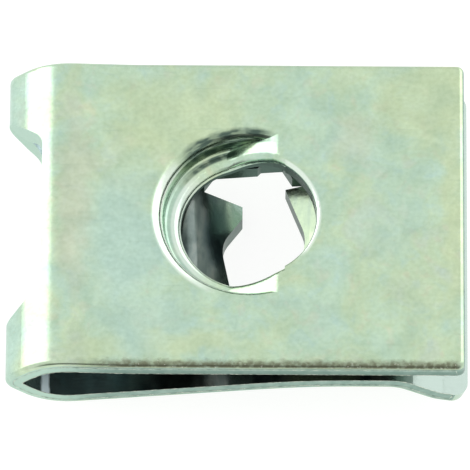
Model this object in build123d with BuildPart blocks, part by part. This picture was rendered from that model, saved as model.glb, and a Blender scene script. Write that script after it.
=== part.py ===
"""A U clip for a sheet-metal screw: one strip of spring steel, folded over so that it slides onto the
edge of a panel. The front leg has a drawn collar that snaps into the panel's hole, and the rear leg has
two lanced tongues that take the thread of the screw.

X runs along the clip, from the fold (-X) to the open end (+X). Y runs across it, and Z points out of the
front leg. The origin is the centre of the clearance hole, on the front leg's outer face. Millimetres.
"""
from build123d import *
import math
import os

# The strip
sheet = 0.80                  # thickness of the spring steel
width = 16.0                  # across the clip
front_reach = 10.05           # from the hole's centre to the open end of the front leg
end_corner = 0.34             # rounding of the front leg's two free corners, seen from above
edge_roll = 0.24              # the blanking punch draws the outer face's edge in by this radius

# The fold
fold_reach = 11.28            # from the hole's centre to the nose of the fold
fold_depth = 1.85             # from the front face down to the middle of the fold
fold_slope = 45.0             # slope of the fold's two flanks
nose_bend = 0.10              # inside radius of the sharp bend at the nose
shoulder_bend = 3.00          # outside radius where a leg runs into its flank
hump_start = 5.6              # from the hole's centre to where the front leg begins to rise
hump_rise = 0.18              # height of that rise at the shoulder
hump_blend = 14.0             # radius that eases into the rise

# The rear leg and its lead-in lip
rear_slope = 8.6              # the rear leg closes towards the front leg at this angle
rear_blend = 30.0             # radius that turns the rear leg parallel to the front leg
rear_turn_reach = 2.85        # from the hole's centre to the middle of that turn
mouth_gap = 0.58              # the narrowest gap between the legs
lip_start = 6.88              # from the hole's centre to the corner where the lip flares out
lip_slope = 34.0
lip_bend = 1.3                # outside radius at the start of the lip
lip_knee = 8.60               # from the hole's centre to where the lip flattens
lip_end_slope = 15.0
lip_knee_bend = 1.6
lip_reach = 10.02             # from the hole's centre to the free edge of the lip
lip_corner = 0.70             # rounding of the lip's corners, seen from above

# The notch through the fold
notch_depth = 1.58            # from the nose to the straight edge of the notch
notch_y = 0.22                # the notch lies this far off the hole's centre, across the clip
notch_half = 3.88             # half width at that edge, in the front half of the fold
notch_rear_half = 4.38        # and in the rear half
notch_mouth = 5.30            # half width at the nose, in both
notch_round = 0.85            # rounding of the notch's inner corners

# The clearance hole and the drawn collar round it
hole_radius = 3.13            # of the plain side of the hole, towards the open end
drawn_radius = 3.18           # of its drawn side, which the press widens as it sinks the collar
hole_edge = 0.20              # rounding of the plain side's rim, where the punch drew the metal in
drawn_edge = 0.38             # the drawn side's rim is rounder
drawn_share = 0.80            # the most that it may take of the floor, where the floor is narrowest
collar_y = 0.10               # the collar is drawn this far off the hole's centre, across the clip
floor_width = 0.81            # of the collar's flat floor, from the hole to the foot of the wall
collar_depth = 1.15           # depth of the collar's floor under the front face
collar_draft = 6.0            # lean of the collar's wall
collar_sheet = 0.64           # the drawn metal is thinner than the strip
collar_mouth = 0.58           # radius where the face turns down into the wall
collar_root = 0.22            # radius where the wall meets the floor
ramp_top = 1.40               # the ramp leaves the front face this far past the hole's centre
ramp_slope = 26.0
ramp_blend = 1.2              # radius at the top and the bottom of the ramp
ramp_sink = 0.02              # the blend at its foot starts this far under the floor, so that it crosses it

# The thread tongues
thread_x = 0.70               # the screw's axis lies a little towards the open end
thread_y = -0.20
grip_radius = 1.92            # the tongues' curved edges grip the root of the thread
hooked_turn = 28.0            # a curved edge leaves that circle at this angle, towards its hooked horn
left_turn = 12.0              # and at this angle towards the fold-side tongue's other horn
right_turn = 20.0             # and the other tongue's
lance_half = 2.65             # half width of a tongue
tongue_root = 4.10            # from the screw's axis to the line where a tongue bends down
tongue_gap = 1.00             # from the screw's axis to the hooked horn of a tongue
tongue_bend = 1.2             # radius of the bend at the root of a tongue
left_dip = 4.30               # depth of the fold-side tongue's horn under the front face
right_dip = 2.95              # the other tongue is half a turn of the thread higher
thread_twist = 0.40           # each tongue falls by this much across its width
lance_gap = 0.06              # the shears leave this much between a tongue and the leg
relief_x = -0.05              # middle of the relief beside the tongues
relief_half = 3.35            # half width of the relief
relief_step = 0.16            # the relief is wider by this much past its jog
relief_jog = 0.60             # from the middle of the relief to the jog
relief_top = 1.60             # half length of the relief along its straight side
relief_run = 0.50             # how far its sloping ends run along the clip

clear = 2.0                   # cutters run this far past what they cut


def sin(angle):
    return math.sin(math.radians(angle))


def cos(angle):
    return math.cos(math.radians(angle))


def tan(angle):
    return math.tan(math.radians(angle))


def crossing(a, slope_a, b, slope_b):
    """The point where the line through a at slope_a meets the line through b at slope_b."""
    along = ((b[1] - a[1]) - (b[0] - a[0]) * tan(slope_b)) / (tan(slope_a) - tan(slope_b))
    return (a[0] + along, a[1] + along * tan(slope_a))


def offset_corners(points, distance):
    """Corners of the path that runs at this distance on the left of an open path."""
    moved = []
    for before, point, after in zip([None] + points[:-1], points, points[1:] + [None]):
        ways = []
        for start, end in ((before, point), (point, after)):
            if start is not None and end is not None:
                length = math.dist(start, end)
                ways.append(((end[0] - start[0]) / length, (end[1] - start[1]) / length))
        normal = [sum(-way[1] for way in ways), sum(way[0] for way in ways)]
        size = math.hypot(*normal)
        normal = [part / size for part in normal]
        stretch = 1 / (-ways[0][1] * normal[0] + ways[0][0] * normal[1])
        moved.append((point[0] + normal[0] * distance * stretch, point[1] + normal[1] * distance * stretch))
    return moved


# The outer line of the folded strip, from the front leg's open end round the nose to the tip of the lip
nose_outside = nose_bend + sheet
nose_corner = (-fold_reach - nose_outside * (1 / sin(fold_slope) - 1), -fold_depth)
front_shoulder = crossing((0, hump_rise), 0, nose_corner, fold_slope)
rear_level = -2 * sheet - mouth_gap
rear_turn = (rear_turn_reach, rear_level)
rear_shoulder = crossing(nose_corner, -fold_slope, rear_turn, rear_slope)
lip_knee_level = rear_level - (lip_knee - lip_start) * tan(lip_slope)
lip_tip_level = lip_knee_level - (lip_reach - lip_knee) * tan(lip_end_slope)
outer_corners = [(front_reach, 0), (-hump_start, 0), front_shoulder, nose_corner, rear_shoulder, rear_turn,
                 (lip_start, rear_level), (lip_knee, lip_knee_level), (lip_reach, lip_tip_level)]
inner_corners = offset_corners(outer_corners, sheet)
outer_radii = [hump_blend, shoulder_bend, nose_outside, shoulder_bend, rear_blend, lip_bend, lip_knee_bend]
inner_radii = [hump_blend + sheet, shoulder_bend - sheet, nose_bend, shoulder_bend - sheet,
               rear_blend + sheet, lip_bend + sheet, lip_knee_bend - sheet]


def rear_outside(x):
    """Height of the rear leg's outer face, from its shoulder to the lip."""
    half_turn = rear_blend * tan(rear_slope / 2)
    if x <= rear_turn_reach - half_turn * cos(rear_slope):
        return rear_level + (x - rear_turn_reach) * tan(rear_slope)
    if x >= rear_turn_reach + half_turn:
        return rear_level
    from_end = rear_turn_reach + half_turn - x
    return rear_level - rear_blend + math.sqrt(rear_blend**2 - from_end**2)


def rear_inside(x):
    """Height of the rear leg's inner face, which follows the outer one at the strip's thickness."""
    half_turn = (rear_blend + sheet) * tan(rear_slope / 2)
    corner = inner_corners[5]
    if x <= corner[0] - half_turn * cos(rear_slope):
        return corner[1] + (x - corner[0]) * tan(rear_slope)
    if x >= corner[0] + half_turn:
        return corner[1]
    from_end = corner[0] + half_turn - x
    return corner[1] - rear_blend - sheet + math.sqrt((rear_blend + sheet)**2 - from_end**2)


# The hollow that the press leaves in the front leg: a round wall, a flat floor and a ramp out of it
floor_radius = drawn_radius + floor_width
collar_radius = floor_radius + collar_depth * tan(collar_draft)
ramp_floor = -collar_depth - ramp_sink
ramp_foot = ramp_top + ramp_floor / tan(ramp_slope)
narrow_floor = floor_width - abs(collar_y) - collar_root * tan((90 - collar_draft) / 2)
drawn_round = min(drawn_edge, drawn_share * narrow_floor)


def hollow_level(x):
    """Height of the hollow's floor and ramp, and of the front face past them, on the rim of the hole."""
    return min(0, max(-collar_depth, (x - ramp_top) * tan(ramp_slope)))


def on_drawn_rim(point):
    """Whether a point is on the upper rim of the drawn hole."""
    off_wall = math.hypot(point.X, point.Y) - drawn_radius
    off_level = point.Z - hollow_level(point.X)
    return abs(off_wall) < sheet / 100 and abs(off_level) < sheet / 4


collar_plane = Plane.XZ.offset(-collar_y)
collar_axis = Axis((0, collar_y, 0), (0, 0, 1))

with BuildPart() as hollow:
    with BuildSketch(collar_plane):
        with BuildLine():
            FilletPolyline((0, -collar_depth), (floor_radius, -collar_depth), (collar_radius, 0),
                           (collar_radius + collar_mouth, 0), radius=[collar_root, collar_mouth])
            Polyline((collar_radius + collar_mouth, 0), (collar_radius + collar_mouth, clear),
                     (0, clear), (0, -collar_depth))
        make_face()
    revolve(axis=collar_axis)
    with BuildSketch(Plane.XZ):
        with BuildLine():
            FilletPolyline((collar_radius + clear, 0), (ramp_top, 0), (ramp_foot, ramp_floor),
                           (-collar_radius - clear, ramp_floor), radius=ramp_blend)
            Polyline((-collar_radius - clear, ramp_floor), (-collar_radius - clear, 2 * clear),
                     (collar_radius + clear, 2 * clear), (collar_radius + clear, 0))
        make_face()
    extrude(amount=collar_radius + clear, both=True, mode=Mode.INTERSECT)

# The metal pushed out below it, down to the same shape one thickness further
under_depth = collar_depth + collar_sheet
under_radius = floor_radius + collar_sheet * (1 - sin(collar_draft)) / cos(collar_draft)
under_mouth = under_radius + under_depth * tan(collar_draft)
under_foot = ramp_foot + collar_sheet * tan(ramp_slope / 2)
under_floor = ramp_floor - collar_sheet
under_top = under_foot - (under_floor + sheet) / tan(ramp_slope)
leg_middle = -sheet / 2

with BuildPart() as collar:
    with BuildSketch(collar_plane):
        with BuildLine():
            FilletPolyline((0, -under_depth), (under_radius, -under_depth), (under_mouth, 0),
                           radius=collar_root + collar_sheet)
            Polyline((under_mouth, 0), (0, 0), (0, -under_depth))
        make_face()
    revolve(axis=collar_axis)
    with BuildSketch(Plane.XZ):
        with BuildLine():
            FilletPolyline((under_mouth + clear, -sheet), (under_top, -sheet), (under_foot, under_floor),
                           (-under_mouth - clear, under_floor), radius=ramp_blend)
            Polyline((-under_mouth - clear, under_floor), (-under_mouth - clear, leg_middle),
                     (under_mouth + clear, leg_middle), (under_mouth + clear, -sheet))
        make_face()
    extrude(amount=under_mouth + clear, both=True, mode=Mode.INTERSECT)
    add(hollow.part, mode=Mode.SUBTRACT)
    with BuildSketch(Plane.XY):
        Circle(drawn_radius)
    extrude(amount=-under_depth - clear, mode=Mode.SUBTRACT)

# The metal that the plain side of the hole keeps, from the top of the ramp to the open end
plain_start = ramp_top + ramp_blend * tan(ramp_slope / 2)
plain_outside = drawn_radius + drawn_edge + hole_edge

with BuildPart() as plain_side:
    with BuildSketch(Plane.XZ):
        with BuildLine():
            Polyline((hole_radius + hole_edge, 0), (plain_outside, 0), (plain_outside, -sheet),
                     (hole_radius, -sheet), (hole_radius, -hole_edge))
            RadiusArc((hole_radius, -hole_edge), (hole_radius + hole_edge, 0), hole_edge)
        make_face()
    revolve(axis=Axis.Z)
    split(bisect_by=Plane.YZ.offset(plain_start), keep=Keep.TOP)

# The two tongues, each a flap of the rear leg bent down from its root, with a curved edge and two horns
with BuildPart() as tongues:
    for side, dip in ((-1, left_dip), (1, right_dip)):
        root = thread_x + side * tongue_root
        bend = root - side * tongue_bend / 2
        horn = thread_x + side * tongue_gap
        for across in (-1, 1):
            fall = dip + (across * -side - 1) * thread_twist / 2
            with BuildSketch(Plane.XZ.offset(-across * lance_half)):
                slope = (rear_inside(bend) + fall) / abs(bend - horn)
                tip = (thread_x, -fall - slope * tongue_gap)
                top = [(root, rear_inside(root)), (bend, rear_inside(bend)), tip]
                under = offset_corners(top, side * sheet)
                under[0] = (root, rear_outside(root))
                with BuildLine():
                    FilletPolyline(*top, radius=tongue_bend)
                    Line(top[-1], under[-1])
                    FilletPolyline(*reversed(under), radius=tongue_bend - sheet)
                    Line(under[0], top[0])
                make_face()
        loft()
    with BuildSketch(Plane(origin=(thread_x, thread_y, 0))):
        Circle(grip_radius)
        far = lance_half + clear
        edge = []
        for side, turn in ((-1, left_turn), (1, right_turn)):
            hook = (grip_radius * cos(hooked_turn), grip_radius * sin(hooked_turn))
            plain = (grip_radius * cos(turn), -grip_radius * sin(turn))
            hook_end = hook[1] + (hook[0] - tongue_gap) / tan(hooked_turn)
            plain_end = plain[0] - (far + plain[1]) * tan(turn)
            half = [(tongue_gap, far), (tongue_gap, hook_end), hook, plain, (plain_end, -far)]
            edge += [(side * u, -side * v) for u, v in half]
        with BuildLine():
            Polyline(*edge, close=True)
        make_face()
    extrude(amount=-left_dip - clear, mode=Mode.SUBTRACT)

# The whole clip
fold_middle = -fold_depth
notch_edge = notch_depth - fold_reach
between_legs = -sheet - mouth_gap / 2

with BuildLine(Plane.XZ) as outer_line:
    FilletPolyline(*outer_corners, radius=outer_radii)


def on_blank_edge(edge):
    """Whether an edge is on the outline of the strip's outer face. The lines of its bends are not."""
    middle = edge @ 0.5
    is_bend = abs(middle.Y) < sheet and middle.X < lip_knee + lip_knee_bend / 2
    return not is_bend and outer_line.line.distance_to(Vector(middle.X, 0, middle.Z)) < sheet / 100


with BuildPart() as u_clip:
    with BuildSketch(Plane.XZ):
        with BuildLine():
            FilletPolyline(*outer_corners, radius=outer_radii)
            Line(outer_corners[-1], inner_corners[-1])
            FilletPolyline(*reversed(inner_corners), radius=list(reversed(inner_radii)))
            Line(inner_corners[0], outer_corners[0])
        make_face()
    extrude(amount=width / 2, both=True)

    free_end = u_clip.edges().filter_by(Axis.Z).group_by(Axis.X)[-1]
    fillet(free_end, radius=end_corner)
    lip_end = u_clip.faces().sort_by(Axis.X)[-1].edges().filter_by(Axis.Y, reverse=True)
    fillet(lip_end, radius=lip_corner)
    fillet([edge for edge in u_clip.edges() if on_blank_edge(edge)], radius=edge_roll)

    for edge_half, depth in ((notch_half, fold_depth + clear), (notch_rear_half, -fold_depth - clear)):
        with BuildSketch(Plane(origin=(0, notch_y, fold_middle))) as notch:
            with BuildLine():
                half = [(notch_edge, edge_half), (-fold_reach, notch_mouth),
                        (-fold_reach - clear, notch_mouth)]
                Polyline(*half, *[(x, -y) for x, y in reversed(half)], close=True)
            make_face()
            fillet(notch.vertices().group_by(Axis.X)[-1], radius=notch_round)
        extrude(amount=depth, mode=Mode.SUBTRACT)

    with BuildSketch(Plane.XY.offset(between_legs)):
        with Locations((thread_x, 0)):
            Rectangle(2 * tongue_root, 2 * (lance_half + lance_gap))
    with BuildSketch(Plane(origin=(relief_x, 0, between_legs))):
        with BuildLine():
            half = [(-relief_top - relief_run, lance_half), (-relief_top, relief_half),
                    (relief_jog - relief_step, relief_half), (relief_jog, relief_half + relief_step),
                    (relief_top, relief_half + relief_step), (relief_top + relief_run, lance_half)]
            Polyline(*half, *[(-x, -y) for x, y in half], close=True)
        make_face()
    extrude(amount=-left_dip - clear, mode=Mode.SUBTRACT)
    add(tongues.part)

    add(hollow.part, mode=Mode.SUBTRACT)
    add(collar.part)
    with BuildSketch(Plane.XY.offset(clear)):
        Circle(drawn_radius)
    extrude(amount=between_legs - clear, mode=Mode.SUBTRACT)
    rim = [edge for edge in u_clip.edges() if on_drawn_rim(edge @ 0.2) and on_drawn_rim(edge @ 0.7)]
    fillet(rim, radius=drawn_round)
    add(plain_side.part)

u_clip.part.label = "u_clip"
os.makedirs("parts", exist_ok=True)
export_step(u_clip.part, "parts/u_clip.step")
size = u_clip.part.bounding_box()
print("solids", len(u_clip.part.solids()), "volume", round(u_clip.part.volume, 2))
print("valid", u_clip.part.is_valid, "box", size.min, size.max)
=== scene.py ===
# %% [markdown]
# # A U clip for a sheet-metal screw
# The clip is one strip of spring steel, folded over, with a bright zinc plate. Its one node, `u_clip`,
# lies in metres in the frame of the CAD model: +X towards the open end, +Y across the clip, +Z out of the
# front leg, and the origin in the middle of the hole.

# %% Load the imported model
import math

import bmesh
import bpy
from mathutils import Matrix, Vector


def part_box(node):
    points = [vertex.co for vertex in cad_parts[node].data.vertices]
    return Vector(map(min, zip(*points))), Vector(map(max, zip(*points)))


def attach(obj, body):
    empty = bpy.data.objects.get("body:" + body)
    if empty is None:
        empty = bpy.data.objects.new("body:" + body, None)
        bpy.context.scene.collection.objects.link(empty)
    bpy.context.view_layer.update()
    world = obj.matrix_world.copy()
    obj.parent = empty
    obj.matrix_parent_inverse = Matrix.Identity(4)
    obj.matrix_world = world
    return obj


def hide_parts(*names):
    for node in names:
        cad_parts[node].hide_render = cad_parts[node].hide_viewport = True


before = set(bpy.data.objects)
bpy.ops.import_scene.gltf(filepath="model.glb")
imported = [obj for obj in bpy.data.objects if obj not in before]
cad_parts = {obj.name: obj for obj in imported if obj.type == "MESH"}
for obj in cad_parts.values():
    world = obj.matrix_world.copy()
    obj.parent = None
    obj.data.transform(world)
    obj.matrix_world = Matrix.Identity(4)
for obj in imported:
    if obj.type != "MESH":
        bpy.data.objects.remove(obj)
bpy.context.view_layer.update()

low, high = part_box("u_clip")
print("clip box in mm", [round(v * 1000, 2) for v in (*low, *high)])

MM = 0.001

# %% [markdown]
# ## The camera
# The photograph is a close product shot from a long way off, so its lines hardly converge. The camera
# stands on the -Y side and looks down at 62 degrees. Its place and lens were worked out from the corners
# of the front leg, the notch and the folded side, which is seen edge on along the bottom of the picture.

# %% Place the camera
ELEVATION, ROLL = 62.0, 0.35         # degrees
DISTANCE = 520.0                     # mm
AIM = Vector((-0.65, -1.12, 0.0))    # mm
PIXELS_PER_MM, PICTURE, SENSOR = 21.464, 470, 36.0

rise = math.radians(ELEVATION)
towards = Vector((0.0, -math.cos(rise), math.sin(rise)))
camera_data = bpy.data.cameras.new("camera")
camera_data.sensor_width = SENSOR
camera_data.lens = PIXELS_PER_MM * DISTANCE * SENSOR / PICTURE
camera_data.clip_start, camera_data.clip_end = 0.01, 10.0
camera = bpy.data.objects.new("camera", camera_data)
bpy.context.scene.collection.objects.link(camera)
camera.location = (AIM + towards * DISTANCE) * MM
camera.rotation_euler = towards.to_track_quat("Z", "Y").to_euler()
camera.rotation_euler.rotate_axis("Z", math.radians(ROLL))
bpy.context.scene.camera = camera
print("lens", round(camera_data.lens, 1), "mm")

# %% [markdown]
# ## The folded sheet
# The CAD model has the right shape, but its mesh is loose triangles. Joined up and shaded by angle they
# would show nicks along the collar, because the triangles there are long and thin. So the copy keeps the
# direction that each corner of the CAD mesh faces: it is stored on the corners first, the triangles are
# joined, and then the stored directions are set again.

# %% Copy and join the CAD mesh
WELD = 0.0005 * MM


def joined_copy(node, name):
    """A copy of a CAD node's mesh with its triangles joined and its own shading kept."""
    mesh = node.data.copy()
    facing = mesh.attributes.new("facing", "FLOAT_VECTOR", "CORNER")
    facing.data.foreach_set("vector", [part for corner in mesh.corner_normals for part in corner.vector])
    shell = bmesh.new()
    shell.from_mesh(mesh)
    bmesh.ops.remove_doubles(shell, verts=shell.verts, dist=WELD)
    for face in shell.faces:
        face.smooth = True
    print(name, "faces", len(shell.faces), "open edges", sum(not e.is_manifold for e in shell.edges))
    shell.to_mesh(mesh)
    shell.free()
    mesh.normals_split_custom_set([corner.vector[:] for corner in mesh.attributes["facing"].data])
    mesh.attributes.remove(mesh.attributes["facing"])
    mesh.materials.clear()
    piece = bpy.data.objects.new(name, mesh)
    bpy.context.scene.collection.objects.link(piece)
    return piece


clip = joined_copy(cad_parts["u_clip"], "folded_clip")

# %% [markdown]
# ## Which faces were sheared
# Clips of this kind are cut by a punch while the sheet is flat: the two long sides, the ends, the notch,
# the hole, and the edges of the tongues. Sheared steel is rougher and duller than the rolled face. On the
# finished clip the sheared faces are the ones that stand upright, apart from the nose of the fold, and the
# sloping end of the lip. They are marked once, on the faces, for the material to read.

# %% Mark the sheared faces
NOSE, NOTCH_SIDE, LIP_END = -11.0 * MM, 5.4 * MM, 9.85 * MM
UPRIGHT, ASIDE, OUTWARD = 0.02, 0.5, 0.8    # limits on the parts of a face's direction


def marked(name, test):
    """Store on each face of the clip whether a test holds for it."""
    values = [1.0 if test(face) else 0.0 for face in clip.data.polygons]
    clip.data.attributes.new(name, "FLOAT", "FACE").data.foreach_set("value", values)
    print(name, "faces", int(sum(values)), "of", len(values))


def is_sheared(face):
    """Whether a face of the clip is the wall of a cut."""
    upright = abs(face.normal.z) < UPRIGHT
    on_nose = face.center.x < NOSE and abs(face.center.y) > NOTCH_SIDE and abs(face.normal.y) < ASIDE
    return (upright and not on_nose) or (face.center.x > LIP_END and face.normal.x > OUTWARD)


marked("sheared", is_sheared)

# %% [markdown]
# ## Which faces look into the gap
# The inner faces of the strip, and the tongues with them, are a dull blue-grey of their own, which is
# painted shade between the legs. An inner face looks down from the front leg or up from the rear leg. The
# floor of the drawn collar looks up too, but it lies above a line that slopes down from the rear leg's turn
# towards the fold. The rear leg and its tongues lie below that line.

# %% Mark the inner faces
INNER_START, FOLD_END = -10.6 * MM, -9.0 * MM
FRONT_UNDERSIDE = -1.9 * MM
LEG_TURN, LINE_TOP, LINE_SLOPE = 2.85 * MM, -1.30 * MM, 0.12
TILTED = 0.05    # how much of a face's direction is up or down


def is_inner(face):
    """Whether a face looks into the gap between the legs."""
    x, z = face.center.x, face.center.z
    if x < INNER_START:
        return False
    line = FRONT_UNDERSIDE if x < FOLD_END else LINE_TOP + LINE_SLOPE * min(0.0, x - LEG_TURN)
    under_front = face.normal.z < -TILTED and z > FRONT_UNDERSIDE
    return under_front or (face.normal.z > TILTED and z < line)


marked("inner", is_inner)

# %% [markdown]
# ## Node helpers
# The materials, the ridges and the light are all built from nodes. A few short helpers make a node and
# link it, and do arithmetic on its sockets.

# %% Nodes and arithmetic
def add(tree, kind, links=(), **values):
    """A node with its settings and inputs. links is a list of (input, output socket)."""
    prefix = "" if kind.startswith(("Geometry", "Function", "Node")) else "ShaderNode"
    node = tree.nodes.new(prefix + kind)
    for name, value in values.items():
        if hasattr(node, name):
            setattr(node, name, value)
        else:
            node.inputs[name.replace("_", " ")].default_value = value
    for name, socket in links:
        tree.links.new(node.inputs[name], socket)
    return node


def blank_tree(made):
    """The emptied node tree of a new material or world."""
    made.use_nodes = True
    made.node_tree.nodes.clear()
    return made.node_tree


def maths(tree, operation, *values):
    """One step of arithmetic on sockets and numbers."""
    node = add(tree, "Math", operation=operation)
    for index, value in enumerate(values):
        if isinstance(value, (int, float)):
            node.inputs[index].default_value = value
        else:
            tree.links.new(node.inputs[index], value)
    return node.outputs[0]


def product(tree, first, *others):
    """Several sockets or numbers multiplied together."""
    for other in others:
        first = maths(tree, "MULTIPLY", first, other)
    return first


def total(tree, first, *others):
    """Several sockets or numbers added up."""
    for other in others:
        first = maths(tree, "ADD", first, other)
    return first


def parts(tree, vector):
    """The X, Y and Z of a vector."""
    return add(tree, "SeparateXYZ", [("Vector", vector)]).outputs


# %% [markdown]
# A finish often belongs to one zone of the clip. Its edge is soft, so a change of range with soft ends
# gives how much of the finish there is, and two of them make a window that opens and closes again.

# %% Soft edges, colours and noise
def fade(tree, value, start, end, low=0.0, high=1.0, smooth=True):
    """The value taken from one range to another, with soft ends."""
    kind = "SMOOTHSTEP" if smooth else "LINEAR"
    node = add(tree, "MapRange", [("Value", value)], interpolation_type=kind)
    for name, number in (("From Min", start), ("From Max", end), ("To Min", low), ("To Max", high)):
        node.inputs[name].default_value = number
    return node.outputs["Result"]


def window(tree, value, start, full, full_end, end):
    """1 from full to full_end, and fading to 0 at start and at end."""
    return product(tree, fade(tree, value, start, full), fade(tree, value, end, full_end))


def colours(tree, factor, stops):
    """A colour ramp through (position, colour) stops."""
    node = add(tree, "ValToRGB", [("Fac", factor)])
    elements = node.color_ramp.elements
    while len(elements) < len(stops):
        elements.new(0.5)
    for element, (position, colour) in zip(elements, stops):
        element.position, element.color = position, (*colour, 1.0)
    return node.outputs["Color"]


def blend(tree, factor, first, second, how="MIX"):
    """Two colours mixed by a factor."""
    node = add(tree, "Mix", data_type="RGBA", blend_type=how, clamp_factor=True)
    for index, value in ((0, factor), (6, first), (7, second)):
        if isinstance(value, (float, tuple)):
            node.inputs[index].default_value = (*value, 1.0) if isinstance(value, tuple) else value
        else:
            tree.links.new(node.inputs[index], value)
    return node.outputs[2]


def stretched(tree, place, x, y, z):
    """The place scaled along each axis, to draw a noise out into streaks."""
    node = add(tree, "VectorMath", [(0, place)], operation="MULTIPLY")
    node.inputs[1].default_value = (x, y, z)
    return node.outputs[0]


def millimetres(tree, place):
    """A place in metres given in millimetres."""
    return stretched(tree, place, 1000, 1000, 1000)


def noise(tree, place, scale, detail=3.0, **more):
    """Cloudy noise at so many clouds to the millimetre."""
    return add(tree, "TexNoise", [("Vector", place)], Scale=scale, Detail=detail, **more).outputs["Fac"]


# %% [markdown]
# ## The zinc plate
# The strip looks plated with zinc and then passivated, which leaves a film so thin that it shows pale
# interference colours. It is mint green over most of the face, with clouds of yellow, pink and blue-grey a
# few millimetres across, as where such a film is thicker or thinner. Noise makes the clouds. A few are
# large enough to have a place of their own, and noise alone would never put those there, so they are soft
# round patches whose outlines are pushed about by noise.
# One patch, the grey on the collar's floor, is painted shade in its recess.

# %% The colours of the film
MINT = (0.515, 0.685, 0.515)
STRAW = (0.575, 0.690, 0.445)
BLUSH = (0.575, 0.645, 0.500)
ICE = (0.490, 0.675, 0.585)
SHADE_GREY = (0.41, 0.58, 0.49)
SCRATCH = (0.40, 0.53, 0.42)

# Each patch: its name, its centre and its half sizes in mm, its colour, and how strong it is.
PATCHES = [
    ("straw cloud above the hole", (-3.4, 5.2, 0), (3.6, 2.6, 3), STRAW, 0.75),
    ("straw far corner", (8.6, 6.2, 0), (3.0, 2.2, 3), STRAW, 0.70),
    ("straw band at the open end", (9.6, 0.5, 0), (0.7, 7.0, 3), STRAW, 0.75),
    ("blush band at the shoulder", (-8.1, 1.0, 0), (0.9, 6.5, 3), BLUSH, 0.70),
    ("ice patch beside the shoulder", (-5.9, -1.2, 0), (2.0, 4.2, 3), ICE, 0.85),
    ("ice patch at the near corner", (-5.0, -6.0, 0), (2.6, 1.8, 3), ICE, 0.70),
    ("blush right of the hole", (4.9, 4.0, 0), (1.2, 1.6, 3), BLUSH, 0.55),
    ("dull patch right of the hole", (6.3, -0.4, 0), (2.2, 1.8, 3), ICE, 0.45),
    ("straw above the near edge", (-2.4, -6.7, 0), (2.4, 0.8, 3), STRAW, 0.75),
    ("straw at the near corner", (-7.4, -7.1, 0), (1.6, 0.9, 3), STRAW, 0.55),
    ("ice along the nose", (-11.4, 0, -1.2), (1.1, 20, 3), ICE, 0.90),
    # painted shade in the collar's recess, not film
    ("painted shade on the collar's floor", (-3.7, 0.1, -1.2), (0.8, 3.6, 0.8), SHADE_GREY, 0.85),
]
print("patches in the film:", ", ".join(name for name, *rest in PATCHES))


# %% Clouds and patches
PUSH = 2.6    # mm that noise pushes the outline of a patch about, from end to end


def clouded(tree, in_mm):
    """The film's clouds, large and small."""
    clouds = noise(tree, in_mm, 0.30, 4.0, Distortion=0.9)
    mottle = noise(tree, in_mm, 1.15, 5.0, Distortion=0.5)
    large = colours(tree, clouds, [(0.36, ICE), (0.47, MINT), (0.58, STRAW), (0.68, BLUSH)])
    small = colours(tree, mottle, [(0.34, ICE), (0.46, MINT), (0.56, MINT), (0.68, BLUSH)])
    return blend(tree, 0.50, large, small)


def patched(tree, in_mm, colour):
    """The colour with the film's larger patches on it, one of them painted shade."""
    push = add(tree, "TexNoise", [("Vector", in_mm)], Scale=0.55, Detail=5.0).outputs["Color"]
    push = add(tree, "VectorMath", [(0, push)], operation="MULTIPLY_ADD")
    push.inputs[1].default_value = (PUSH, PUSH, 0.0)
    push.inputs[2].default_value = (-PUSH / 2, -PUSH / 2, 0.0)
    pushed = add(tree, "VectorMath", [(0, in_mm), (1, push.outputs[0])], operation="ADD").outputs[0]
    for _, centre, size, tint, amount in PATCHES:
        off = add(tree, "VectorMath", [(0, pushed)], operation="SUBTRACT")
        off.inputs[1].default_value = centre
        across = add(tree, "VectorMath", [(0, off.outputs[0])], operation="DIVIDE")
        across.inputs[1].default_value = size
        reach = add(tree, "VectorMath", [(0, across.outputs[0])], operation="LENGTH").outputs["Value"]
        colour = blend(tree, fade(tree, reach, 1.25, 0.35, 0.0, amount), colour, tint)
    return colour


# %% [markdown]
# ## The dark and pale areas on the collar
# The collar has dark streaks on its far wall, round its mouth and on its floor, and they are painted dark
# reflections. On the fold's side the wall and the edge of the hole are pale, and so is the plain rim of the
# hole: these are painted highlights. These zones are rings round the screw's axis, so they are windows on
# the distance from it.

# %% Painted dark reflections and highlights
# Colours of the painted dark reflections and the painted highlights on the collar.
DARK_REFLECTION = (0.080, 0.125, 0.100)
PAINTED_HIGHLIGHT = (0.86, 0.96, 0.87)


def from_axis(tree, x, y):
    """The distance from the screw's axis."""
    return maths(tree, "SQRT", total(tree, product(tree, x, x), product(tree, y, y)))


def dark_reflection_amount(tree, in_mm):
    """Painted dark reflections: streaks on the far wall of the collar, round its mouth and on its floor."""
    x, y, _ = parts(tree, in_mm)
    ring = from_axis(tree, x, y)
    wobble = product(tree, noise(tree, in_mm, 2.0, 4.0), 0.20)
    mouth = fade(tree, total(tree, ring, wobble), 4.80, 4.55)
    wall = product(tree, fade(tree, ring, 4.02, 4.14), mouth, fade(tree, x, 1.4, 0.4))
    floor = product(tree, window(tree, ring, 3.60, 3.74, 3.94, 4.02), fade(tree, x, -0.1, -0.8))
    far_side = product(tree, fade(tree, x, -3.5, -2.5), fade(tree, y, 1.2, 2.6))
    lines = noise(tree, stretched(tree, in_mm, 1.0, 1.0, 9.0), 1.4, 3.0)
    streaks = fade(tree, lines, 0.38, 0.58, 0.60, 1.0)
    return product(tree, maths(tree, "MAXIMUM", wall, floor), far_side, streaks)


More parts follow.
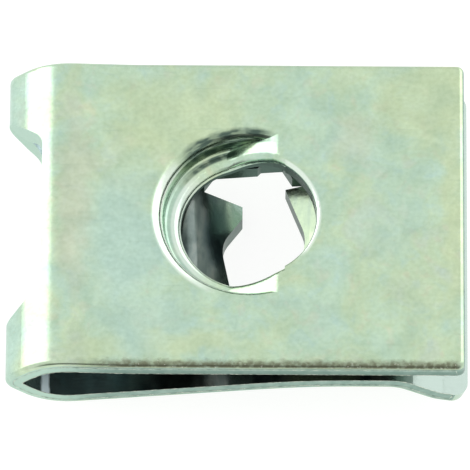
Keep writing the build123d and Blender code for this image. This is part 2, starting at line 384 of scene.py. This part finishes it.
def highlight_amount(tree, in_mm):
    """Painted highlights: the collar's wall and the hole's edge on the fold's side, and the plain rim."""
    x, y, _ = parts(tree, in_mm)
    ring = from_axis(tree, x, y)
    wall = window(tree, ring, 3.98, 4.10, 4.40, 4.60)
    edge = fade(tree, ring, 3.72, 3.60, 0.0, 0.7)
    fold_side = product(tree, fade(tree, x, -1.2, -2.8), fade(tree, y, 3.1, 1.9))
    drawn = product(tree, maths(tree, "MAXIMUM", wall, edge), fold_side)
    plain_side = product(tree, fade(tree, x, 1.3, 1.9), fade(tree, y, -2.3, -1.8))
    rim = product(tree, fade(tree, ring, 3.42, 3.30), plain_side)
    return maths(tree, "MAXIMUM", drawn, rim)


# %% The whole film
def film_colour(tree, in_mm):
    """The film's clouds and patches, with specks, scratches, thin places and grain, and painted highlights
    and dark reflections.
    """
    colour = patched(tree, in_mm, clouded(tree, in_mm))
    specks = fade(tree, noise(tree, in_mm, 3.2, 4.0), 0.66, 0.76, 0.0, 0.35)
    colour = blend(tree, specks, colour, BLUSH)
    scratches = noise(tree, stretched(tree, in_mm, 0.35, 7.0, 7.0), 1.0, 4.0)
    colour = blend(tree, fade(tree, scratches, 0.60, 0.74, 0.0, 0.28), colour, SCRATCH)
    thick = fade(tree, noise(tree, in_mm, 0.62, 6.0, Distortion=0.6), 0.32, 0.68, smooth=False)
    dimming = colours(tree, thick, [(0.0, (0.88, 0.90, 0.89)), (1.0, (1.06, 1.05, 1.04))])
    colour = blend(tree, 1.0, colour, dimming, "MULTIPLY")
    grain = fade(tree, noise(tree, in_mm, 4.2, 5.0), 0.30, 0.70, smooth=False)
    speckle = colours(tree, grain, [(0.0, (0.93, 0.94, 0.92)), (1.0, (1.06, 1.05, 1.06))])
    colour = blend(tree, 1.0, colour, speckle, "MULTIPLY")
    # Painted highlights, then painted dark reflections, over the film.
    highlight_share = fade(tree, highlight_amount(tree, in_mm), 0.0, 1.0, 0.0, 0.75, smooth=False)
    colour = blend(tree, highlight_share, colour, PAINTED_HIGHLIGHT)
    return blend(tree, dark_reflection_amount(tree, in_mm), colour, DARK_REFLECTION)


# %% [markdown]
# ## The stain on the near edge
# The photo shows a brown-grey band along the near edge of the front leg, where a punch rounds the sheet as
# it draws it in. It may be a stain on the rough edge, and here it is coloured as one. It covers the rounded
# edge, ragged on its upper side, and dies out before the fold. The far edge gets only a trace of it.

# %% The stain
STAIN = (0.175, 0.190, 0.125)
GRIT = (0.62, 0.64, 0.54)
HALF_WIDTH = 8.0


def stain_amount(tree, in_mm):
    """How much stain is on the surface, from 0 to 1."""
    x, y, z = parts(tree, in_mm)
    ragged = product(tree, noise(tree, in_mm, 2.8, 7.0), -0.50)
    near = fade(tree, total(tree, y, HALF_WIDTH, ragged), 0.20, -0.16)
    far = fade(tree, maths(tree, "SUBTRACT", HALF_WIDTH, y), 0.30, 0.05, 0.0, 0.22)
    on_front = fade(tree, z, -0.27, -0.14)
    along = window(tree, x, -9.0, -5.4, 9.6, 10.02)
    mottled = fade(tree, noise(tree, in_mm, 5.0, 4.0), 0.30, 0.56, 0.60, 1.0)
    return product(tree, maths(tree, "MAXIMUM", near, far), on_front, along, mottled)


# %% [markdown]
# ## The sheared walls
# A punch burnishes the first part of the wall that it cuts and tears the rest. Here the torn part is the
# lower half, and it is darker. The walls are paler towards the fold. The wall of the hole and the edges of
# the tongues are the darkest, with painted shade, as they face the dim space under the clip.

# %% Colour of the sheared walls
SHEARED_DARK, SHEARED_PALE = (0.23, 0.36, 0.30), (0.33, 0.47, 0.40)
FOLD_WALL = (0.50, 0.70, 0.58)
TORN_WALL = (0.13, 0.22, 0.18)
# Painted shade on the wall of the hole and the edges of the tongues.
BORE_SHADE = (0.052, 0.102, 0.078)


def cut_colour(tree, in_mm):
    """The grey-green of a sheared wall, with painted shade on the wall of the hole and the tongues' edges.
    """
    x, y, z = parts(tree, in_mm)
    cloud = noise(tree, in_mm, 2.4, 4.0)
    colour = colours(tree, cloud, [(0.35, SHEARED_DARK), (0.65, SHEARED_PALE)])
    colour = blend(tree, fade(tree, x, -6.5, -9.5, 0.0, 0.85), colour, FOLD_WALL)
    torn = product(tree, window(tree, z, -0.95, -0.85, -0.54, -0.42), fade(tree, x, -7.5, -5.5, 0.0, 0.55))
    colour = blend(tree, torn, colour, TORN_WALL)
    # Painted shade near the screw's axis: the wall of the hole and the edges of the tongues.
    bore_shade = fade(tree, from_axis(tree, x, y), 5.2, 4.6, 0.0, 0.93)
    return blend(tree, bore_shade, colour, BORE_SHADE)


# %% [markdown]
# ## The inside
# The inner faces are a dull blue-grey with streaks across the clip. That colour is painted shade between
# the legs, darker and paler by zone. It is paler in the fold, with a thin painted highlight as a pale bar
# across it. On the left tongue the painted shade is darkest at its root and in a patch, with a chalky band
# at its bend and a paler horn, and the right tongue and the lip are paler. Film, wear and reflections can
# look the same in one photo. So each zone is a guess, and here it is a colour of its own, most of them in
# a window on X.

# %% Painted highlight and chalk
# The colour of the painted highlight across the inside of the fold.
FOLD_HIGHLIGHT = (0.78, 0.92, 0.95)


def fold_highlight_amount(tree, in_mm):
    """A painted highlight: the thin pale bar across the inside of the fold."""
    x, _, z = parts(tree, in_mm)
    across = total(tree, x, product(tree, noise(tree, in_mm, 1.6, 3.0), 0.16))
    bar = window(tree, across, -9.62, -9.46, -9.24, -9.10)
    return product(tree, bar, fade(tree, z, -1.9, -2.1))


def chalky_amount(tree, in_mm):
    """The chalky band where the left tongue bends off the rear leg."""
    x, y, _ = parts(tree, in_mm)
    across = maths(tree, "MULTIPLY_ADD", noise(tree, in_mm, 0.9, 3.0), 1.1, x)
    across = maths(tree, "MULTIPLY_ADD", y, 0.12, across)
    return window(tree, across, -2.6, -1.9, -1.6, -0.9)


# %% Colour of the inside
STREAKS = [(0.34, (0.075, 0.105, 0.105)), (0.50, (0.190, 0.240, 0.220)), (0.66, (0.340, 0.400, 0.350))]
CHALK_STREAKS = [(0.34, (0.12, 0.17, 0.16)), (0.50, (0.22, 0.28, 0.26)), (0.66, (0.34, 0.37, 0.34))]
PALE_STREAKS = [(0.36, (0.30, 0.38, 0.29)), (0.56, (0.37, 0.46, 0.32)), (0.64, (0.50, 0.56, 0.42))]
# Painted shade on the left tongue: darker at its root, and darkest on a patch.
ROOT_SHADE, SHADE = (0.40, 0.43, 0.41), (0.06, 0.10, 0.11)
HORN, FOLD_INSIDE, LIP = (0.34, 0.46, 0.40), (0.46, 0.62, 0.62), (0.36, 0.44, 0.40)
SHADE_X, SHADE_Y = -1.45, 0.5    # mm, the middle of the dark patch on the left tongue


def inner_shade_colour(tree, in_mm):
    """Painted shade between the legs: a dull blue-grey with streaks, darker and paler by zone."""
    x, y, _ = parts(tree, in_mm)
    rubbed = noise(tree, stretched(tree, in_mm, 1.6, 0.55, 0.8), 1.0, 4.0, Distortion=0.4)
    dull = colours(tree, rubbed, STREAKS)
    dull = blend(tree, window(tree, x, -4.6, -3.8, -2.7, -2.3), dull, ROOT_SHADE, "MULTIPLY")
    dull = blend(tree, chalky_amount(tree, in_mm), dull, colours(tree, rubbed, CHALK_STREAKS))
    along = maths(tree, "POWER", product(tree, total(tree, x, -SHADE_X), 1.33), 2.0)
    aside = maths(tree, "POWER", product(tree, total(tree, y, -SHADE_Y), 0.55), 2.0)
    # The darkest painted shade, on a patch of the left tongue.
    dull = blend(tree, fade(tree, total(tree, along, aside), 1.3, 0.2, 0.0, 0.85), dull, SHADE)
    dull = blend(tree, product(tree, window(tree, x, -1.0, -0.6, 0.1, 0.4), 0.7), dull, HORN)
    dull = blend(tree, fade(tree, x, -5.0, -7.0, 0.0, 0.7), dull, FOLD_INSIDE)
    dull = blend(tree, window(tree, x, 1.4, 2.2, 4.6, 5.4), dull, colours(tree, rubbed, PALE_STREAKS))
    return blend(tree, fade(tree, x, 6.2, 7.3), dull, LIP)


# %% [markdown]
# ## The plate's material
# One material covers the strip. The marks on the faces choose between the film, the inside and the sheared
# walls, and the stain lies over them all. The fine lines in its gloss and its surface run along X, as on
# sheet that was rolled that way. A powdery coat isn't metallic, so the chalky band is less metallic than
# the plate, and so is the pale bar, which is a painted highlight.

# %% Colour and metal
def blank_material(name):
    """A new material with an empty tree, and the place on the object in mm."""
    material = bpy.data.materials.new(name)
    tree = blank_tree(material)
    return material, tree, millimetres(tree, add(tree, "TexCoord").outputs["Object"])


def surface_colour(tree, in_mm, cut, inside, fold_highlight, stain):
    """The colours of all the zones put together."""
    # The inner faces take painted shade between the legs in place of the film.
    colour = blend(tree, inside, film_colour(tree, in_mm), inner_shade_colour(tree, in_mm))
    # The painted highlight of the pale bar in the fold.
    colour = blend(tree, fold_highlight, colour, FOLD_HIGHLIGHT)
    colour = blend(tree, cut, colour, cut_colour(tree, in_mm))
    colour = blend(tree, stain, colour, STAIN)
    grit = fade(tree, noise(tree, in_mm, 9.0, 2.0), 0.66, 0.72)
    return blend(tree, product(tree, grit, stain), colour, GRIT)


def metallic(tree, in_mm, inside, fold_highlight):
    """1 on the outside, a little less inside, and low on the chalky band and on the painted highlight of
    the pale bar.
    """
    chalk = maths(tree, "MULTIPLY_ADD", chalky_amount(tree, in_mm), 0.64, 0.06)
    # The painted highlight of the pale bar is made less metallic, as the chalky band is.
    powder = maths(tree, "MAXIMUM", product(tree, inside, chalk), fold_highlight)
    return maths(tree, "SUBTRACT", 1.0, powder)


# %% The surface and the whole material
BUMP_HEIGHT = 0.012 * MM


def surface_height(tree, in_mm, cut, streaks):
    """Slow waves, fine grain, rolling lines, and the torn grain of the sheared walls."""
    waves = product(tree, noise(tree, in_mm, 0.8, 3.0), 1.6)
    grain = product(tree, noise(tree, in_mm, 6.0, 4.0), 0.35)
    torn = noise(tree, stretched(tree, in_mm, 9.0, 9.0, 1.4), 1.0, 3.0)
    torn = product(tree, torn, product(tree, cut, 1.6))
    return total(tree, waves, grain, torn, product(tree, streaks, 0.12))


def zinc_plate():
    """Bright zinc with a pale film, rolled along X, duller where the sheet was sheared."""
    material, tree, in_mm = blank_material("zinc_plated_steel")
    cut = add(tree, "Attribute", attribute_type="GEOMETRY", attribute_name="sheared").outputs["Fac"]
    inside = add(tree, "Attribute", attribute_type="GEOMETRY", attribute_name="inner").outputs["Fac"]
    # The painted highlight of the pale bar in the fold, on the inner faces only.
    fold_highlight = product(tree, fold_highlight_amount(tree, in_mm), inside)
    stain = stain_amount(tree, in_mm)
    streaks = noise(tree, stretched(tree, in_mm, 0.5, 10.0, 10.0), 1.0, 3.0)
    smooth = fade(tree, streaks, 0.3, 0.7, 0.15, 0.21)
    rough = total(tree, smooth, product(tree, cut, 0.17), product(tree, stain, 0.20))
    height = surface_height(tree, in_mm, cut, streaks)
    bump = add(tree, "Bump", [("Height", height)], Strength=0.5, Distance=BUMP_HEIGHT)
    surface = add(tree, "BsdfPrincipled", [
        ("Base Color", surface_colour(tree, in_mm, cut, inside, fold_highlight, stain)), ("Roughness", rough),
        ("Metallic", metallic(tree, in_mm, inside, fold_highlight)), ("Normal", bump.outputs["Normal"])])
    add(tree, "OutputMaterial", [("Surface", surface.outputs["BSDF"])])
    return material


plate = zinc_plate()
clip.data.materials.append(plate)
print("material", plate.name, "nodes", len(plate.node_tree.nodes))

# %% [markdown]
# ## The shear line and the burr
# The photo shows a ragged pale line along the near side, just below the brown-grey band, and a fine pale
# line along the inner edges. On sheared sheet such lines are where the cut starts, and the burr where it
# ends. Both follow the outline of the clip's two long sides all the way round, so Geometry Nodes sweep
# them: the side faces are picked out, their outline becomes a curve, noise with a fixed seed makes it
# ragged, and a thin round profile runs along it.

# %% Metal of the ridges
DULL_RIDGE, BRIGHT_RIDGE = (0.34, 0.43, 0.36), (0.72, 0.78, 0.66)


def bare_ridge():
    """Bright metal with duller stretches."""
    material, tree, in_mm = blank_material("ridge_metal")
    glint = noise(tree, in_mm, 3.0, 4.0)
    colour = colours(tree, glint, [(0.38, DULL_RIDGE), (0.58, BRIGHT_RIDGE)])
    rough = fade(tree, glint, 0.3, 0.7, 0.40, 0.25)
    surface = add(tree, "BsdfPrincipled", [("Base Color", colour), ("Roughness", rough)], Metallic=1.0)
    add(tree, "OutputMaterial", [("Surface", surface.outputs["BSDF"])])
    return material


ridge_metal = bare_ridge()
print("material", ridge_metal.name, "nodes", len(ridge_metal.node_tree.nodes))


# %% Short helpers for Geometry Nodes
def compared(tree, value, operation, limit, data_type="FLOAT"):
    """Whether a value is greater than a limit, or equal to it, as the operation says."""
    node = add(tree, "FunctionNodeCompare", data_type=data_type, operation=operation)
    first, second = (2, 3) if data_type == "INT" else (0, 1)
    tree.links.new(node.inputs[first], value)
    node.inputs[second].default_value = limit
    return node.outputs[0]


def logic(tree, operation, first, second):
    """Two yes-or-no fields joined by a rule."""
    return add(tree, "FunctionNodeBooleanMath", [(0, first), (1, second)], operation=operation).outputs[0]


def stored(tree, geometry, name, value, data_type, domain):
    """The geometry with a field stored on it under a name."""
    links = [("Geometry", geometry), ("Value", value)]
    kind = "GeometryNodeStoreNamedAttribute"
    return add(tree, kind, links, data_type=data_type, domain=domain, Name=name).outputs[0]


def recalled(tree, name, data_type):
    """A field that was stored under a name."""
    return add(tree, "GeometryNodeInputNamedAttribute", data_type=data_type, Name=name).outputs[0]


# %% [markdown]
# Two facts about the clip are lost once its side faces are cut out on their own: which edges are sharp
# corners, and which way is out of the sheet. So they are stored on the mesh first. The inner edge of a side
# is a sharp corner, and the outer edge is rounded, which tells the burr's outline from the shear line's.

# %% The outline of the two sides
SIDE_FACING = 0.999
CORNER_ANGLE = math.radians(40)
OUTERMOST = (HALF_WIDTH - 0.05) * MM


def remembered(tree, mesh, normal):
    """The mesh with its sharp corners and its outward directions stored on it."""
    angle = add(tree, "GeometryNodeInputMeshEdgeAngle").outputs["Unsigned Angle"]
    is_corner = compared(tree, angle, "GREATER_THAN", CORNER_ANGLE)
    mesh = stored(tree, mesh, "corner", is_corner, "BOOLEAN", "EDGE")
    flat = stretched(tree, normal, 1.0, 0.0, 1.0)
    outward = add(tree, "VectorMath", [(0, flat)], operation="NORMALIZE").outputs[0]
    return stored(tree, mesh, "outward", outward, "FLOAT_VECTOR", "POINT")


def side_outline(tree, mesh, spot, along_burr):
    """The outline of the two side faces as a curve, on its sharp edges or on its round ones."""
    normal = add(tree, "GeometryNodeInputNormal").outputs["Normal"]
    mesh = remembered(tree, mesh, normal)
    facing = maths(tree, "ABSOLUTE", parts(tree, normal)["Y"])
    aside = maths(tree, "ABSOLUTE", parts(tree, spot)["Y"])
    on_side = logic(tree, "AND", compared(tree, facing, "GREATER_THAN", SIDE_FACING),
                    compared(tree, aside, "GREATER_THAN", OUTERMOST))
    sides = add(tree, "GeometryNodeSeparateGeometry", [("Geometry", mesh), ("Selection", on_side)],
                domain="FACE").outputs["Selection"]
    faces = add(tree, "GeometryNodeInputMeshEdgeNeighbors").outputs["Face Count"]
    outline = compared(tree, faces, "EQUAL", 1, "INT")
    wanted = logic(tree, "XNOR", recalled(tree, "corner", "BOOLEAN"), along_burr)
    chosen = logic(tree, "AND", outline, wanted)
    return add(tree, "GeometryNodeMeshToCurve", [("Mesh", sides), ("Selection", chosen)]).outputs[0]


# %% A ragged line, and a thin sweep along it
PROFILE_SIDES = 6


def seeded_noise(tree, spot, seed, scale, detail):
    """Noise that another seed changes as a whole."""
    links = [("Vector", millimetres(tree, spot)), ("W", seed)]
    return add(tree, "TexNoise", links, noise_dimensions="4D", Scale=scale, Detail=detail).outputs["Fac"]


def ragged_line(tree, curve, spot, given):
    """The curve in even steps, set in from the edge and pushed in and out by noise."""
    links = [("Curve", curve), ("Length", given["Step"])]
    even = add(tree, "GeometryNodeResampleCurve", links, mode="LENGTH")
    wander = seeded_noise(tree, spot, given["Seed"], 3.0, 4.0)
    swing = product(tree, maths(tree, "SUBTRACT", wander, 0.5), given["Ragged"])
    way_out = recalled(tree, "outward", "FLOAT_VECTOR")
    how_far = maths(tree, "SUBTRACT", swing, given["Inset"])
    shift = add(tree, "VectorMath", [(0, way_out), ("Scale", how_far)], operation="SCALE")
    links = [("Geometry", even.outputs[0]), ("Offset", shift.outputs[0])]
    return add(tree, "GeometryNodeSetPosition", links).outputs[0]


def thin_sweep(tree, curve, spot, given):
    """A thin round profile along the curve, thicker and thinner by noise."""
    lumps = seeded_noise(tree, spot, given["Seed"], 5.0, 2.0)
    thick = product(tree, fade(tree, lumps, 0.35, 0.65, 0.35, 1.25), given["Radius"])
    profile = add(tree, "GeometryNodeCurvePrimitiveCircle", Resolution=PROFILE_SIDES, Radius=1.0)
    links = [("Curve", curve), ("Profile Curve", profile.outputs[0]), ("Scale", thick)]
    return add(tree, "GeometryNodeCurveToMesh", links).outputs[0]


# %% The ridge's tree
INPUTS = {"Radius": "Float", "Step": "Float", "Inset": "Float", "Ragged": "Float", "Seed": "Float",
          "Along Burr": "Bool", "Metal": "Material"}


def ridge_tree():
    """Geometry Nodes that sweep a ragged ridge along the outline of the clip's side faces."""
    tree = bpy.data.node_groups.new("ragged_ridge", "GeometryNodeTree")
    sockets = tree.interface
    sockets.new_socket("Geometry", in_out="INPUT", socket_type="NodeSocketGeometry")
    for name, kind in INPUTS.items():
        sockets.new_socket(name, in_out="INPUT", socket_type="NodeSocket" + kind)
    sockets.new_socket("Geometry", in_out="OUTPUT", socket_type="NodeSocketGeometry")
    given = add(tree, "NodeGroupInput").outputs
    spot = add(tree, "GeometryNodeInputPosition").outputs[0]
    outline = side_outline(tree, given["Geometry"], spot, given["Along Burr"])
    sweep = thin_sweep(tree, ragged_line(tree, outline, spot, given), spot, given)
    real = add(tree, "GeometryNodeRealizeInstances", [("Geometry", sweep)]).outputs[0]
    plated = add(tree, "GeometryNodeSetMaterial", [("Geometry", real), ("Material", given["Metal"])])
    add(tree, "NodeGroupOutput", [("Geometry", plated.outputs[0])])
    return tree


ragged_ridge = ridge_tree()
print("ridge nodes", len(ragged_ridge.nodes))


# %% Sweep the two ridges
RIDGE_STEP = 0.07 * MM


def swept_ridge(name, **sizes):
    """A plain mesh of one ridge, swept along the clip's two long sides."""
    carrier = bpy.data.objects.new(name, clip.data.copy())
    bpy.context.scene.collection.objects.link(carrier)
    modifier = carrier.modifiers.new("ridge", "NODES")
    modifier.node_group = ragged_ridge
    for item in ragged_ridge.interface.items_tree:
        key = item.name.replace(" ", "_").lower()
        if item.in_out == "INPUT" and key in sizes:
            modifier[item.identifier] = sizes[key]
    seen = carrier.evaluated_get(bpy.context.evaluated_depsgraph_get())
    mesh = bpy.data.meshes.new_from_object(seen)
    carrier.modifiers.clear()
    carrier.data = mesh
    for face in mesh.polygons:
        face.use_smooth = True
    print(name, "triangles", sum(len(face.vertices) - 2 for face in mesh.polygons))
    return carrier


shear_line = swept_ridge("shear_line", radius=0.022 * MM, step=RIDGE_STEP, inset=0.13 * MM,
                         ragged=0.07 * MM, seed=3.0, along_burr=False, metal=ridge_metal)
burr = swept_ridge("inner_burr", radius=0.020 * MM, step=RIDGE_STEP, inset=0.0,
                   ragged=0.03 * MM, seed=8.0, along_burr=True, metal=ridge_metal)

# %% [markdown]
# ## The studio
# The clip lies on a plain white table in a soft tent of light. Light Path tells the camera, reflections
# and clear things from other rays, so they see the table white without any more light on the clip. Its own
# grey keeps the clip's shadow.

# %% The table
TABLE_WHITE = 0.84
TABLE_GREY = (0.26, 0.26, 0.26, 1.0)
TABLE_REACH = 0.6    # m

floor_mesh = bpy.data.meshes.new("table")
level = low.z - 0.01 * MM
corners = [(x * TABLE_REACH, y * TABLE_REACH, level) for x, y in ((-1, -1), (1, -1), (1, 1), (-1, 1))]
floor_mesh.from_pydata(corners, [], [(0, 1, 2, 3)])
table = bpy.data.objects.new("table", floor_mesh)
bpy.context.scene.collection.objects.link(table)
print("table at", round(level / MM, 3), "mm")


# %% The table's finish
def seen_by(tree, *rays):
    """1 for any of the named kinds of ray."""
    path = add(tree, "LightPath").outputs
    seen = path[rays[0]]
    for ray in rays[1:]:
        seen = maths(tree, "MAXIMUM", seen, path[ray])
    return seen


def table_finish():
    """A grey that takes the shadow, with the white that the camera and reflections see."""
    material = bpy.data.materials.new("table_white")
    tree = blank_tree(material)
    grey = add(tree, "BsdfDiffuse", Color=TABLE_GREY)
    looked_at = seen_by(tree, "Is Camera Ray", "Is Glossy Ray", "Is Transmission Ray")
    glow = add(tree, "Emission", [("Strength", product(tree, looked_at, TABLE_WHITE))])
    both = add(tree, "AddShader", [(0, grey.outputs[0]), (1, glow.outputs[0])])
    add(tree, "OutputMaterial", [("Surface", both.outputs[0])])
    return material


floor_mesh.materials.append(table_finish())

# %% [markdown]
# ## The tent of light
# Metal shows what stands round it, so the tent matters as much as the plate. It is plain white over most
# of its wall, at the level at which a colour renders about as it is written. Two soft boxes at the sides,
# towards the back, are about twice as bright, so what faces them turns white or nearly so, as in the photo.
# Low on the camera's side the tent is darker, so walls that face that way, such as the far wall of the
# collar, go dark. How the real studio was lit can't be known.

# %% The tent of light
DARK_SIDE = 0.24
LEFT_BOX, RIGHT_BOX = 1.25, 0.80
WHITE = (1.0, 1.0, 1.0, 1.0)


def tent_strength(tree, way):
    """The light of the tent in each direction, 1 where it is plain."""
    x, y, z = parts(tree, way)
    dark = product(tree, fade(tree, y, 0.12, -0.52), fade(tree, maths(tree, "ABSOLUTE", x), 0.68, 0.40),
                   fade(tree, z, 0.66, 0.46))
    light = fade(tree, dark, 0.0, 1.0, 1.0, DARK_SIDE, smooth=False)
    behind = fade(tree, y, 0.10, 0.38)
    left = product(tree, fade(tree, x, -0.42, -0.56), fade(tree, z, 0.04, 0.16), behind)
    right = product(tree, fade(tree, x, 0.26, 0.42), fade(tree, z, 0.02, 0.10), behind)
    return total(tree, light, product(tree, left, LEFT_BOX), product(tree, right, RIGHT_BOX))


def tent_light():
    """The tent as the world, plain white where the camera looks past the table."""
    world = bpy.data.worlds.new("tent")
    tree = blank_tree(world)
    strength = tent_strength(tree, add(tree, "TexCoord").outputs["Generated"])
    tent = add(tree, "Background", [("Strength", strength)], Color=WHITE)
    white = add(tree, "Background", Strength=1.0, Color=WHITE)
    plain = seen_by(tree, "Is Camera Ray", "Is Transmission Ray")
    mixed = add(tree, "MixShader", [(0, plain), (1, tent.outputs[0]), (2, white.outputs[0])])
    add(tree, "OutputWorld", [("Surface", mixed.outputs[0])])
    return world


bpy.context.scene.world = tent_light()
bpy.context.scene.view_settings.view_transform = "Standard"
print("world", bpy.context.scene.world.name)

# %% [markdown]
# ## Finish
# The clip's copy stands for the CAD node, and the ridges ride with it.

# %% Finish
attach(clip, "root")
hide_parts("u_clip")
for ridge in (shear_line, burr):
    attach(ridge, "root")
